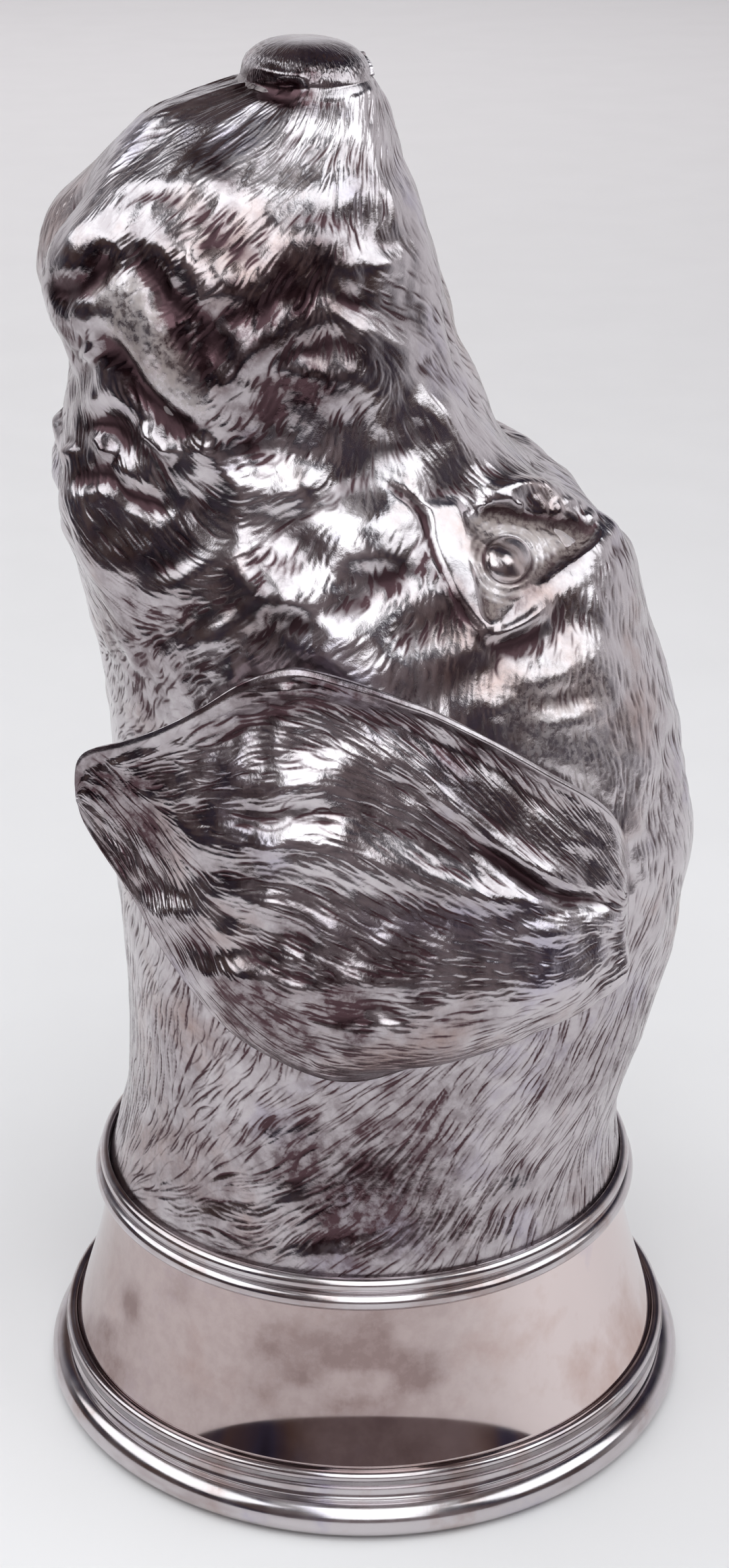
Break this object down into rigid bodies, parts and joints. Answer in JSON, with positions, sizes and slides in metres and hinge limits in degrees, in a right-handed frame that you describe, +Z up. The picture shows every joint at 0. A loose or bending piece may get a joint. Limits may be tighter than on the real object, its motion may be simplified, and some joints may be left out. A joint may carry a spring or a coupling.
{
  "type": "stirrup cup",
  "caption": "Cast silver stirrup cup shaped as a hound's head, resting mouth down on a moulded rim with the nose up.",
  "frame": {"origin": "centre of the mouth, on the plane that the cup rests on", "axes": "+Z up from the mouth to the nose, +X toward the forehead, -Y the hound's left side"},
  "size_m": [0.0734, 0.0734, 0.151],
  "materials": {
    "cast_silver": "chased and polished silver, darkened in the recesses of the coat",
    "sheet_silver": "smooth polished silver with a soft brown tarnish",
    "polished_silver": "bright polished silver"
  },
  "bodies": {
    "root": {"head_left_half": "cast_silver", "head_right_half": "cast_silver", "left_ear": "cast_silver", "right_ear": "cast_silver", "collar": "sheet_silver", "neck_reeding": "polished_silver", "mouth_moulding": "polished_silver"}
  },
  "joints": []
}
